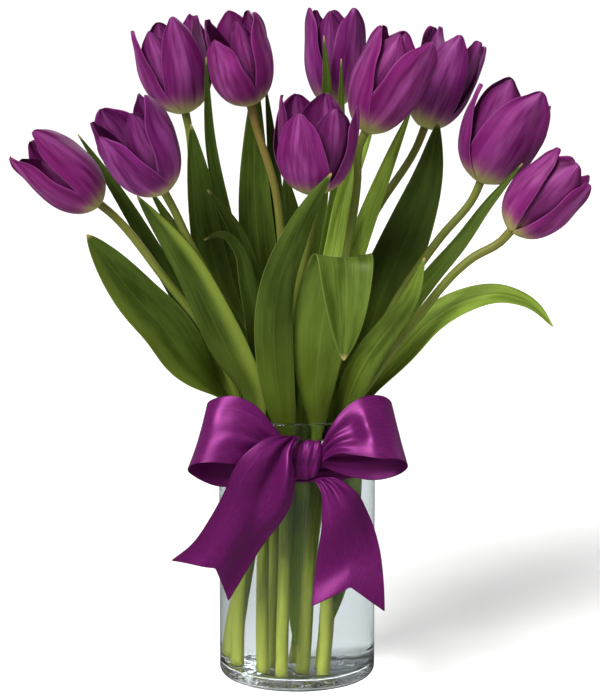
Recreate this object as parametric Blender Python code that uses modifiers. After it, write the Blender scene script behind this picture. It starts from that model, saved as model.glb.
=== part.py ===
"""Ten purple tulips in a clear glass cylinder vase tied with a satin ribbon bow.

Metres, +Z up. The origin is the centre of the vase's underside, and -Y is the front,
where the bow is tied. Sizes below are written in millimetres and scaled by MM.
"""
import math

import bmesh
import bpy
from mathutils import Vector

MM = 0.001
GAP = 0.3

VASE_RADIUS = 50.0
VASE_HEIGHT = 175.0
VASE_WALL = 3.5
VASE_BASE = 7.0
VASE_STEPS = 48

WATER_LEVEL = 139.0

STEM_FOOT_RADIUS = 3.8
STEM_TOP_RADIUS = 3.0
STEM_IN_BLOOM = 9.0
STEM_FOOT_Z = VASE_BASE + 0.8
STEM_RIM_Z = 172.0

PETAL_THICKNESS = 1.2
WHORL_RING_RADIUS = 4.0
WHORL_STEP = 6.0

LEAF_THICKNESS = 0.9
LEAF_CLASP = 14.0

RIBBON_THICKNESS = 0.8
BAND_BOTTOM = 137.0
BAND_TOP = 164.0
KNOT_CENTRE = (5.5, -57.1, 154.0)
KNOT_SIZE = (17.0, 11.0, 25.0)

# Each tulip: foot and rim places (x, y) in the vase, free points of the stem, the bloom's base,
# the bloom's tip, its radius, and how far round its first tepal is turned (degrees).
TULIPS = [
    dict(foot=(-30, -2), rim=(-34, -8), via=[(-50, -11, 215), (-84, -14, 262)],
         base=(-124, -15, 309), tip=(-172, -33, 352), radius=20, turn=90),
    dict(foot=(-19, -22), rim=(-24, -26), via=[(-36, -39, 227), (-67, -53, 292)],
         base=(-81, -62, 323), tip=(-109, -74, 377), radius=23.5, turn=78),
    dict(foot=(-27, 18), rim=(-24, 12), via=[(-40, 19, 220), (-55, 24, 270), (-66, 27, 320)],
         base=(-71, 28, 361), tip=(-83, 28, 420), radius=24, turn=1),
    dict(foot=(-14, -3), rim=(-9, -4), via=[(-8, -6, 220), (-9, -8, 270), (-14, -10, 319)],
         base=(-29, -12, 371), tip=(-42, -21, 428), radius=20, turn=78),
    dict(foot=(-8, 31), rim=(0, 28), via=[(8, 35, 215), (21, 45, 266), (26, 50, 302)],
         base=(24, 55, 362), tip=(24, 59, 426), radius=19.5, turn=97),
    dict(foot=(-9, -35), rim=(-7, -33), via=[(-8, -36, 200), (-3, -40, 240), (7, -50, 290)],
         base=(10, -58, 321), tip=(12, -62, 384), radius=25.5, turn=59),
    dict(foot=(3, -17), rim=(14, -24), via=[(21, -20, 215), (30, -14, 270), (38, -8, 322)],
         base=(43, -5, 353), tip=(69, -8, 415), radius=23, turn=97),
    dict(foot=(0, 13), rim=(16, 24), via=[(22, 27, 200), (34, 34, 245), (48, 41, 290)],
         base=(82, 48, 349), tip=(105, 54, 409), radius=21, turn=33),
    dict(foot=(12, 0), rim=(30, 8), via=[(42, 9, 200), (69, 9, 252), (91, 7, 284)],
         base=(116, 5, 320), tip=(142, 0, 383), radius=26, turn=6),
    dict(foot=(15, -29), rim=(31, -13), via=[(54, -22, 208), (75, -27, 238), (110, -33, 278)],
         base=(133, -35, 295), tip=(173, -42, 340), radius=21, turn=90),
]

# Each leaf: the tulip whose stem it clasps, the height of its base, the side of the stem it
# sits on (degrees, 0 = +X, 90 = +Y), its free midrib points, its full width, the directions
# that its inner face turns to from the middle to the tip, and the fold of its blade (radians).
# spread limits how fast the blade widens from its foot, broad_tip puts its widest place past
# the middle, and hinge is the line that a sharply bent blade turns about, instead of facing.
LEAVES = {
    "leaf_far_left": dict(stem=1, z=150, side=200, width=34, fold=0.5, facing=[(0.3, -0.9, 0.3)],
                          broad_tip=True,
                          route=[(-42, -13, 178), (-52, -17, 189), (-68, -22, 208), (-84, -25, 232),
                                 (-100, -27, 250), (-119, -29, 275), (-131, -30, 292)]),
    "leaf_left_narrow": dict(stem=1, z=152, side=80, width=13, fold=0.4, facing=[(0.3, -0.95, 0)],
                             route=[(-37, 1, 185), (-54, 6, 210), (-84, 10, 262), (-119, 13, 320),
                                    (-139, 16, 349)]),
    "leaf_left_folded": dict(stem=2, z=152, side=230, width=27, fold=0.6, spread=38,
                             facing=[(0.2, 0.9, 0.1)],
                             route=[(-29, -37, 190), (-40, -48, 215), (-51, -56, 241),
                                    (-69, -60, 278), (-98, -56, 320)]),
    "leaf_left_inner": dict(stem=2, z=154, side=88, width=13, fold=0.3, facing=[(0.2, -0.95, 0)],
                            route=[(-27, -17, 198), (-45, -20, 240), (-64, -23, 274),
                                   (-79, -25, 298), (-93, -27, 322)]),
    "leaf_left_broad": dict(stem=3, z=152, side=280, width=28, fold=0.35, facing=[(0.1, -1, 0)],
                            route=[(-35, 9, 205), (-45, 11, 240), (-53, 11, 269), (-59, 11, 301),
                                   (-64, 12, 333), (-67, 13, 356)]),
    "leaf_slender_left": dict(stem=4, z=152, side=180, width=11, fold=0.4, facing=[(0, -1, 0)],
                              route=[(-20, -1, 200), (-28, 0, 230), (-40, 2, 275), (-48, 3, 309),
                                     (-54, 4, 342), (-57, 4, 399)]),
    "leaf_behind_left": dict(stem=4, z=156, side=75, width=25, fold=0.3, facing=[(0, -1, 0)],
                             route=[(-14, 8, 205), (-19, 15, 235), (-24, 18, 270), (-27, 20, 308),
                                    (-27, 20, 350), (-26, 19, 386)]),
    "leaf_dark_middle": dict(stem=5, z=152, side=180, width=12, fold=0.4, facing=[(0, -1, 0)],
                             route=[(-9, 28, 210), (-11, 28, 250), (-13, 29, 300), (-16, 30, 340),
                                    (-20, 32, 378)]),
    "leaf_pointing_left": dict(stem=4, z=154, side=285, width=16, fold=0.35, facing=[(0.2, -1, 0)],
                               route=[(-13, -14, 193), (-21, -15, 228), (-29, -14, 261),
                                      (-39, -15, 293), (-56, -16, 318)]),
    "leaf_curled": dict(stem=2, z=152, side=342, width=14, fold=0.35,
                        facing=[(0.2, -1, 0), (0.2, -0.9, 0.4)],
                        route=[(-20, -30, 200), (-25, -30, 230), (-31, -29, 260), (-37, -28, 283),
                               (-47, -28, 292), (-58, -29, 288)]),
    "leaf_front_tall": dict(stem=6, z=152, side=265, width=25, fold=0.5, facing=[(-0.1, 1, 0)],
                            route=[(-11, -45, 189), (-14, -56, 222), (-14, -64, 245),
                                   (-11, -73, 269), (-1, -80, 298), (9, -84, 319), (21, -86, 338)]),
    "leaf_front_bent": dict(stem=7, z=152, side=265, width=38, fold=0.25, spread=50, hinge=(1, 0, 0),
                            broad_tip=True, rows=16,
                            route=[(12, -38, 190), (13, -48, 215), (16, -57, 242), (22, -67, 268),
                                   (27, -75, 283), (28.5, -78, 286), (29.5, -81, 284), (30, -85, 272),
                                   (30, -88, 248), (28.5, -88, 223)]),
    "leaf_middle_right": dict(stem=7, z=152, side=100, width=15, fold=0.4, facing=[(-0.2, -1, 0)],
                              route=[(15, -12, 215), (19, -2, 248), (24, 4, 275), (32, 12, 315),
                                     (45, 20, 352), (52, 25, 384)]),
    "leaf_bright_right": dict(stem=8, z=152, side=315, width=15, fold=0.4, facing=[(-0.2, -1, 0)],
                              route=[(21, 14, 207), (30, 14, 250), (38, 13, 276), (57, 17, 327),
                                     (73, 20, 366)]),
    "leaf_behind_middle": dict(stem=5, z=152, side=275, width=14, fold=0.35, facing=[(0, -1, 0)],
                               route=[(5, 22, 212), (9, 25, 260), (14, 28, 310), (18, 29, 350),
                                      (19, 30, 380), (17, 31, 410)]),
    "leaf_slender_middle": dict(stem=8, z=152, side=205, width=10, fold=0.4, facing=[(0, -1, 0)],
                                route=[(10, 18, 212), (18, 18, 268), (26, 20, 320), (28, 23, 360),
                                       (28, 25, 396)]),
    "leaf_right_broad": dict(stem=9, z=152, side=100, width=36, fold=0.35, facing=[(-0.2, -1, 0)],
                             route=[(41, 19, 205), (53, 23, 240), (64, 24, 266), (72, 25, 286),
                                    (85, 27, 325), (90, 28, 356)]),
    "leaf_right_long": dict(stem=9, z=154, side=300, width=13, fold=0.4, facing=[(-0.3, -0.9, 0.3)],
                            route=[(45, 1, 202), (65, -2, 232), (87, -10, 264), (103, -13, 284),
                                   (118, -15, 306), (141, -18, 335)]),
    "leaf_right_front": dict(stem=10, z=152, side=260, width=19, fold=0.45, facing=[(0.2, 0.9, 0.2)],
                             route=[(35, -31, 195), (45, -40, 217), (58, -44, 236), (70, -46, 254),
                                    (79, -47, 280)]),
    "leaf_far_right": dict(stem=10, z=152, side=40, width=22, fold=0.4,
                           facing=[(-0.2, -0.8, 0.6), (0, -0.7, 0.7)],
                           route=[(45, -9, 191), (66, -13, 214), (85, -14, 234), (104, -17, 246),
                                  (128, -20, 252), (149, -22, 245), (161, -24, 232)]),
    "leaf_back_middle": dict(stem=5, z=152, side=85, width=24, fold=0.35, facing=[(0, -1, 0.2)],
                             route=[(0, 42, 200), (0, 54, 240), (-3, 63, 280), (-8, 68, 318)]),
    "leaf_back_left": dict(stem=3, z=152, side=100, width=24, fold=0.35, facing=[(0.3, -0.9, 0.2)],
                           route=[(-30, 28, 200), (-38, 41, 235), (-46, 51, 270), (-54, 57, 308)]),
}

# The bow's two ribbon edges, from the knot outwards: (x, y, z) on one edge and on the other.
LOOP_LEFT = [((-3.5, -58.5, 162.5), (-3.5, -58.5, 151)), ((-15, -60, 177), (-20, -64, 154)),
             ((-25, -60, 189), (-35, -72, 154)), ((-39, -58, 195), (-51, -78, 157)),
             ((-50, -54, 193), (-62, -76, 156)), ((-56, -48, 188), (-68, -68, 150)),
             ((-53, -43, 182), (-62, -61, 143)), ((-41, -44, 178), (-50, -57, 137)),
             ((-26, -49, 172), (-34, -57, 137)), ((-3.5, -55.6, 161), (-3.5, -55.6, 150))]
LOOP_RIGHT = [((14.5, -58.5, 162.5), (14.5, -58.5, 152)), ((22, -61, 178), (24, -67, 160)),
              ((30, -60, 188), (37, -75, 161)), ((43, -58, 195), (52, -80, 160)),
              ((54, -54, 194), (64, -75, 158)), ((59, -49, 189), (69, -67, 152)),
              ((57, -44, 183), (65, -60, 146)), ((43, -46, 178), (51, -57, 141)),
              ((28, -50, 171), (33, -56, 143)), ((14.5, -55.6, 161), (14.5, -55.6, 150))]
TAIL_LEFT = [((-2, -57, 167.3), (4, -57, 167.3)), ((-7, -64, 170.5), (0.5, -65.5, 168.5)),
             ((-17, -71, 172), (-3.2, -68.5, 158)),
             ((-28, -75, 166), (-2, -70, 151)), ((-38, -77, 155), (-1.5, -70, 141)),
             ((-45, -74, 138), (-3, -66, 129)), ((-54, -69, 120), (-12, -61, 111)),
             ((-66, -66, 102), (-26, -59, 88)), ((-79, -64, 91), (-43, -60, 61))]
TAIL_RIGHT = [((7.5, -57.5, 140.6), (12.5, -57.5, 140.8)), ((11.5, -62, 141), (23, -62, 144)),
              ((14.5, -65.5, 136), (35, -64, 137)), ((15, -66, 118), (46, -61, 118)),
              ((13, -64, 99), (52, -59, 98)), ((11, -64, 80), (54, -59, 79)),
              ((9, -66, 62), (55, -60, 57))]
TAIL_NOTCH = 15.0


# ---------------------------------------------------------------- scene, materials, collections

def clear_scene():
    for obj in list(bpy.data.objects):
        bpy.data.objects.remove(obj, do_unlink=True)


def collection(name):
    group = bpy.data.collections.new(name)
    bpy.context.scene.collection.children.link(group)
    return group


def material(name, colour, roughness, metallic=0.0, transmission=0.0):
    mat = bpy.data.materials.new(name)
    mat.use_nodes = True
    shader = mat.node_tree.nodes["Principled BSDF"]
    shader.inputs["Base Color"].default_value = (*colour, 1.0)
    shader.inputs["Roughness"].default_value = roughness
    shader.inputs["Metallic"].default_value = metallic
    shader.inputs["Transmission Weight"].default_value = transmission
    mat.diffuse_color = (*colour, 1.0)
    return mat


def place(obj, group, mat):
    group.objects.link(obj)
    obj.data.materials.append(mat)
    return obj


# ---------------------------------------------------------------- curves and sections

def through(points, per_span):
    """Points along a smooth curve that passes through all the given points."""
    spans = [(b - a).length for a, b in zip(points, points[1:])]
    slopes = [(b - a) / d for a, b, d in zip(points, points[1:], spans)]
    tangents = [slopes[0]]
    for k in range(1, len(points) - 1):
        before, after = spans[k - 1], spans[k]
        tangents.append((slopes[k] * before + slopes[k - 1] * after) / (before + after))
    tangents.append(slopes[-1])
    result = []
    for k, span in enumerate(spans):
        for step in range(per_span):
            t = step / per_span
            a, b = points[k], points[k + 1]
            lift = tangents[k] * span * (t - 2 * t * t + t ** 3)
            land = tangents[k + 1] * span * (t ** 3 - t * t)
            blend = 3 * t * t - 2 * t ** 3
            result.append(a.lerp(b, blend) + lift + land)
    result.append(points[-1].copy())
    return result


def spaced(points, count):
    """The given number of points, equally far apart along a polyline."""
    lengths = [0.0]
    for a, b in zip(points, points[1:]):
        lengths.append(lengths[-1] + (b - a).length)
    result = []
    k = 0
    for i in range(count):
        target = lengths[-1] * i / (count - 1)
        while k < len(points) - 2 and lengths[k + 1] < target:
            k += 1
        part = (target - lengths[k]) / (lengths[k + 1] - lengths[k])
        result.append(points[k].lerp(points[k + 1], min(part, 1.0)))
    return result


def smoothstep(x):
    x = min(max(x, 0.0), 1.0)
    return x * x * (3 - 2 * x)


def tangent_at(points, i):
    a = points[max(i - 1, 0)]
    b = points[min(i + 1, len(points) - 1)]
    return (b - a).normalized()


def grid_mesh(name, rows, closed=False):
    """A quad mesh over rows of points; closed joins each row's last point to its first."""
    mesh = bmesh.new()
    verts = [[mesh.verts.new(p * MM) for p in row] for row in rows]
    across = len(rows[0])
    for lower, upper in zip(verts, verts[1:]):
        for k in range(across if closed else across - 1):
            n = (k + 1) % across
            mesh.faces.new((lower[k], lower[n], upper[n], upper[k]))
    data = bpy.data.meshes.new(name)
    mesh.to_mesh(data)
    mesh.free()
    return data


def sheet(name, rows, thickness, closed=False, offset=0.0):
    """A grid of points thickened into one closed solid."""
    data = grid_mesh(name, rows, closed)
    data.shade_smooth()
    obj = bpy.data.objects.new(name, data)
    solid = obj.modifiers.new("Solidify", "SOLIDIFY")
    solid.thickness = thickness * MM
    solid.offset = offset
    return obj


def turned(name, profile, steps):
    """A solid turned round the Z axis from (radius, height) points."""
    mesh = bmesh.new()
    verts = [mesh.verts.new((r * MM, 0.0, z * MM)) for r, z in profile]
    for a, b in zip(verts, verts[1:]):
        mesh.edges.new((a, b))
    if profile[0][0] > 0.0:
        mesh.edges.new((verts[-1], verts[0]))
    data = bpy.data.meshes.new(name)
    mesh.to_mesh(data)
    mesh.free()
    obj = bpy.data.objects.new(name, data)
    screw = obj.modifiers.new("Screw", "SCREW")
    screw.steps = steps
    screw.render_steps = steps
    screw.use_merge_vertices = True
    screw.merge_threshold = 0.00001
    return obj


def corner(centre_r, centre_z, radius, start_deg, end_deg, steps):
    """Points on an arc of a profile."""
    result = []
    for k in range(steps + 1):
        angle = math.radians(start_deg + (end_deg - start_deg) * k / steps)
        result.append((centre_r + radius * math.cos(angle), centre_z + radius * math.sin(angle)))
    return result


# ---------------------------------------------------------------- vase and water

def inner_profile(clearance, top):
    """The vase's hollow, from its floor's centre up its wall, drawn in by a clearance."""
    radius = VASE_RADIUS - VASE_WALL - clearance
    floor = VASE_BASE + clearance
    fillet = 4.0
    return [(0.0, floor)] + corner(radius - fillet, floor + fillet, fillet, -90, 0, 3) + [(radius, top)]


def vase(group):
    inside = inner_profile(0.0, VASE_HEIGHT - VASE_WALL / 2)
    rim = corner(VASE_RADIUS - VASE_WALL / 2, VASE_HEIGHT - VASE_WALL / 2, VASE_WALL / 2, 150, 0, 4)
    foot = corner(VASE_RADIUS - 5.0, 5.0, 5.0, 0, -90, 4)
    profile = inside + rim + foot + [(0.0, 0.0)]
    glass = material("vase_glass", (0.93, 0.96, 0.95), 0.02, transmission=1.0)
    obj = place(turned("vase", profile, VASE_STEPS), group, glass)
    obj.data.shade_smooth()


def water(group, cutters):
    inside = inner_profile(GAP, WATER_LEVEL)
    profile = inside + [(0.0, WATER_LEVEL)]
    clear = material("water", (0.92, 0.97, 1.0), 0.02, transmission=1.0)
    obj = place(turned("water", profile, VASE_STEPS), group, clear)
    cut = obj.modifiers.new("Stems", "BOOLEAN")
    cut.operation = "DIFFERENCE"
    cut.operand_type = "COLLECTION"
    cut.collection = cutters


# ---------------------------------------------------------------- stems

def stem_points(tulip):
    """The stem's centre line, from its foot on the vase floor to its end inside the bloom."""
    base = Vector(tulip["base"])
    axis = (Vector(tulip["tip"]) - base).normalized()
    free = [Vector(p) for p in tulip["via"]]
    points = [Vector((*tulip["foot"], STEM_FOOT_Z)), Vector((*tulip["rim"], STEM_RIM_Z))]
    points += free + [base - axis * 10.0, base]
    line = spaced(through(points, 8), 12)
    return line + [base + axis * STEM_IN_BLOOM]


def stem_radius(z):
    part = min(max((z - VASE_BASE) / 320.0, 0.0), 1.0)
    return STEM_FOOT_RADIUS + (STEM_TOP_RADIUS - STEM_FOOT_RADIUS) * part


def stem_at(points, z):
    """The stem's centre and direction where it passes a height."""
    for a, b in zip(points, points[1:]):
        if a.z <= z <= b.z:
            return a.lerp(b, (z - a.z) / (b.z - a.z)), (b - a).normalized()
    raise ValueError("no point of the stem lies at this height")


def tube(name, points, radii):
    data = bpy.data.curves.new(name, "CURVE")
    data.dimensions = "3D"
    data.bevel_depth = MM
    data.bevel_resolution = 2
    data.use_fill_caps = True
    spline = data.splines.new("POLY")
    spline.points.add(len(points) - 1)
    for slot, point, radius in zip(spline.points, points, radii):
        slot.co = (*(point * MM), 1.0)
        slot.radius = radius
    spline.use_smooth = True
    return bpy.data.objects.new(name, data)


def stem(number, points, group, mat):
    radii = [stem_radius(p.z) for p in points]
    radii[-2] = STEM_TOP_RADIUS
    radii[-1] = STEM_TOP_RADIUS
    place(tube(f"tulip_{number:02d}_stem", points, radii), group, mat)


def stem_cutter(number, points, cutters):
    """A slightly fatter stem, which clears the stem's way through the water."""
    below = points[0] - Vector((0.0, 0.0, 4.0))
    wet = [p for p in points if p.z < WATER_LEVEL + 60.0]
    radii = [stem_radius(p.z) + 2 * GAP for p in wet]
    curve = tube(f"cutter_{number:02d}", [below] + wet, [radii[0]] + radii)
    cutters.objects.link(curve)
    bpy.context.view_layer.update()
    evaluated = curve.evaluated_get(bpy.context.evaluated_depsgraph_get())
    data = bpy.data.meshes.new_from_object(evaluated)
    welded = bmesh.new()
    welded.from_mesh(data)
    bmesh.ops.remove_doubles(welded, verts=welded.verts, dist=0.00001)
    welded.to_mesh(data)
    welded.free()
    solid = bpy.data.objects.new(f"cutter_{number:02d}_solid", data)
    solid.matrix_world = curve.matrix_world
    solid.hide_render = True
    solid.display_type = "WIRE"
    cutters.objects.link(solid)
    bpy.data.objects.remove(curve, do_unlink=True)


# ---------------------------------------------------------------- blooms

def whorl(name, base, axis, height, radius, turn_deg, group, mat):
    """Three tepals joined at their feet: a cup with three lobes, open where the stem enters."""
    side = axis.cross(Vector((0.0, 1.0, 0.0))).normalized()
    front = side.cross(axis).normalized()
    rows = []
    for level in (0.0, 0.1, 0.35, 0.7, 1.0):
        row = []
        for k in range(9):
            angle = math.tau * k / 9
            lobe = abs(math.cos(1.5 * angle)) ** 0.8
            rise = level * (1.0 - 0.22 * (1.0 - lobe) * level)
            swell = math.sin(math.pi * 0.68 * rise ** 0.62)
            out = WHORL_RING_RADIUS + (radius - WHORL_RING_RADIUS) * swell
            turned_to = angle + math.radians(turn_deg)
            around = side * math.cos(turned_to) + front * math.sin(turned_to)
            row.append(base + axis * height * rise + around * out)
        rows.append(row)
    place(sheet(name, rows, PETAL_THICKNESS, closed=True), group, mat)


def bloom(number, tulip, group, mats):
    base = Vector(tulip["base"])
    axis = Vector(tulip["tip"]) - base
    height = axis.length
    axis.normalize()
    name = f"tulip_{number:02d}"
    radius = tulip["radius"]
    whorl(f"{name}_outer_tepals", base, axis, height - 2.0, radius, tulip["turn"], group, mats[0])
    whorl(f"{name}_inner_tepals", base + axis * WHORL_STEP, axis, height - WHORL_STEP,
          radius - 3.5, tulip["turn"] + 60, group, mats[1])


# ---------------------------------------------------------------- leaves

def leaf_half_width(s, spec, foot):
    """Half the blade's width: a narrow clasping foot, its widest place, then a point."""
    rise, fall = (0.95, 0.75) if spec.get("broad_tip") else (0.55, 0.78)
    widest = rise / (rise + fall)
    full = (widest ** rise) * ((1.0 - widest) ** fall)
    blade = spec["width"] / 2 * (s ** rise) * ((1.0 - s) ** fall) / full
    return max(foot * (1.0 - s), min(blade, foot + spec.get("spread", 60) * s), 0.8)


def facing_at(s, start, facing):
    """The way the leaf's inner face turns at a place along it."""
    stops = [start] + [Vector(v).normalized() for v in facing]
    if len(stops) == 2:
        stops.append(stops[1])
    place_along = smoothstep(s) * (len(stops) - 1) if len(stops) == 3 else s * (len(stops) - 1)
    k = min(int(place_along), len(stops) - 2)
    return stops[k].lerp(stops[k + 1], smoothstep(place_along - k))


def leaf(name, spec, stems, group, mat):
    points = stems[spec["stem"] - 1]
    angle = math.radians(spec["side"])
    side = Vector((math.cos(angle), math.sin(angle), 0.0))
    line = []
    for z in (spec["z"], spec["z"] + LEAF_CLASP):
        centre, along = stem_at(points, z)
        away = (side - along * side.dot(along)).normalized()
        line.append(centre + away * (stem_radius(z) + GAP + 0.2 + LEAF_THICKNESS / 2))
    line += [Vector(p) for p in spec["route"]]
    spine = spaced(through(line, 8), spec.get("rows", 10))
    clasp_radius = STEM_FOOT_RADIUS + 2 * GAP + LEAF_THICKNESS / 2
    wrap = 0.6
    foot = wrap * clasp_radius
    rows = []
    for i, centre in enumerate(spine):
        s = i / (len(spine) - 1)
        along = tangent_at(spine, i)
        if "hinge" in spec:
            across = Vector(spec["hinge"])
            across = (across - along * across.dot(along)).normalized()
            inner = along.cross(across)
        else:
            inner = facing_at(s, -side, spec["facing"])
            inner = (inner - along * inner.dot(along)).normalized()
            across = along.cross(inner)
        half = leaf_half_width(s, spec, foot)
        fold = wrap + (spec["fold"] - wrap) * smoothstep(s / 0.35)
        bend = half / fold
        row = []
        for k in range(-2, 3):
            turn = fold * k / 2
            row.append(centre + across * bend * math.sin(turn) + inner * bend * (1 - math.cos(turn)))
        rows.append(row)
    place(sheet(name, rows, LEAF_THICKNESS), group, mat)


# ---------------------------------------------------------------- ribbon

def ribbon_strip(name, edges, count, columns, group, mat, notch=0.0):
    """A ribbon between two smooth edges; a notch cuts a V into its far end."""
    sides = [spaced(through([Vector(pair[k]) for pair in edges], 8), count) for k in (0, 1)]
    rows = []
    for i in range(count):
        along = (tangent_at(sides[0], i) + tangent_at(sides[1], i)).normalized()
        depth = notch * smoothstep((i / (count - 1) - 0.6) / 0.4)
        row = []
        for k in range(columns):
            u = k / (columns - 1)
            row.append(sides[0][i].lerp(sides[1][i], u) - along * depth * (1.0 - abs(2.0 * u - 1.0)))
        rows.append(row)
    place(sheet(name, rows, RIBBON_THICKNESS), group, mat)


def ribbon_band(group, mat):
    inner = VASE_RADIUS + GAP
    outer = inner + RIBBON_THICKNESS
    profile = [(inner, BAND_BOTTOM), (inner, BAND_TOP), (outer, BAND_TOP), (outer, BAND_BOTTOM)]
    place(turned("ribbon_band", profile, VASE_STEPS), group, mat)


def ribbon_knot(group, mat):
    mesh = bmesh.new()
    bmesh.ops.create_cube(mesh, size=MM)
    bmesh.ops.scale(mesh, vec=KNOT_SIZE, verts=mesh.verts)
    data = bpy.data.meshes.new("ribbon_knot")
    mesh.to_mesh(data)
    mesh.free()
    obj = place(bpy.data.objects.new("ribbon_knot", data), group, mat)
    obj.location = Vector(KNOT_CENTRE) * MM
    soft = obj.modifiers.new("Bevel", "BEVEL")
    soft.width = 3.5 * MM
    soft.segments = 3


def bow(group):
    satin = (0.145, 0.030, 0.125)
    ribbon_band(group, material("ribbon_band", satin, 0.35))
    ribbon_knot(group, material("ribbon_knot", satin, 0.35))
    pieces = [("ribbon_loop_left", LOOP_LEFT, 20, 3, 0.0),
              ("ribbon_loop_right", LOOP_RIGHT, 20, 3, 0.0),
              ("ribbon_tail_left", TAIL_LEFT, 12, 5, TAIL_NOTCH),
              ("ribbon_tail_right", TAIL_RIGHT, 11, 5, TAIL_NOTCH)]
    for name, edges, count, columns, notch in pieces:
        ribbon_strip(name, edges, count, columns, group, material(name, satin, 0.35), notch)


# ---------------------------------------------------------------- the whole arrangement

def build():
    clear_scene()
    group = collection("tulips_in_a_vase")
    cutters = collection("cutters")
    stems = [stem_points(tulip) for tulip in TULIPS]
    for number, (tulip, points) in enumerate(zip(TULIPS, stems), start=1):
        stem(number, points, group, material(f"stem_{number:02d}", (0.22, 0.30, 0.06), 0.5))
        stem_cutter(number, points, cutters)
        mats = [material(f"tepals_{where}_{number:02d}", (0.13, 0.025, 0.12), 0.45)
                for where in ("outer", "inner")]
        bloom(number, tulip, group, mats)
    for name, spec in LEAVES.items():
        leaf(name, spec, stems, group, material(name, (0.07, 0.13, 0.025), 0.5))
    vase(group)
    water(group, cutters)
    bow(group)


build()
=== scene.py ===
"""The looks of ten purple tulips in a clear cylinder vase tied with a satin bow.

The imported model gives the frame. Shapes are written in millimetres and scaled by MM, in the
same frame as the model: the origin is under the vase's middle, +Z is up and -Y is the front.
"""
from math import copysign, cos, exp, hypot, pi, radians, sin, sqrt, tau

import bmesh
import bpy
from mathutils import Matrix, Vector, noise


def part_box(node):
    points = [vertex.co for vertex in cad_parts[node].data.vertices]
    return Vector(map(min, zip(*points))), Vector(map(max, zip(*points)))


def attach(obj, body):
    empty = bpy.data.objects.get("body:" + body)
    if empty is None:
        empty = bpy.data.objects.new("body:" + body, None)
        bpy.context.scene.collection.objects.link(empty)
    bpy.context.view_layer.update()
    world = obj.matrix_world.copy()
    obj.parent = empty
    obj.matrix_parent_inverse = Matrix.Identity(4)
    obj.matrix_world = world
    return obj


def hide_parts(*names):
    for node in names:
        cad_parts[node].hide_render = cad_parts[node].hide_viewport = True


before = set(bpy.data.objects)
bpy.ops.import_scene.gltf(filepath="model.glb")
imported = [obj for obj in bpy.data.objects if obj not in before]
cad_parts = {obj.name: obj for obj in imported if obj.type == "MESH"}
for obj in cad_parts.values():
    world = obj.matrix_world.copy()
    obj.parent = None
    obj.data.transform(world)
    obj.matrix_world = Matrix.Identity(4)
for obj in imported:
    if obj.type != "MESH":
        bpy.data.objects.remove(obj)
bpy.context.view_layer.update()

MM = 0.001

VASE_RADIUS = 50.0
VASE_HEIGHT = 175.0
VASE_WALL = 3.5
VASE_BASE = 7.0
VASE_FILLET = 5.0
FOOT_FILLET = 5.5
FLOOR_DOME = 0.9
FLOOR_EDGE = 41.5
LATHE_STEPS = 144
WATER_LEVEL = 139.0
WATER_SEAM = 0.06
MENISCUS = 1.6
STEM_FOOT_Z = VASE_BASE + 0.8
STEM_RIM_Z = 172.0
STEM_FOOT_RADIUS = 3.8
STEM_TOP_RADIUS = 2.5
STEM_TAPER_HEIGHT = 320.0
STEM_STEPS = 70
PETAL_THICKNESS = 0.55
# painted shade on the inner tepals, unless a tulip gives its own depth
INNER_PAINTED_SHADE = 0.92
LEAF_FOOT_Z = 152
LEAF_CLASP = 14.0
LEAF_THICKNESS = 0.75
LEAF_WRAP = 0.6
LEAF_STEPS = 46
RIBBON_THICKNESS = 0.35
RIBBON_ROWS = 60
RIBBON_COLUMNS = 25
PLEATS = 3
FLOATS_PER_MM = 0.18
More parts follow.
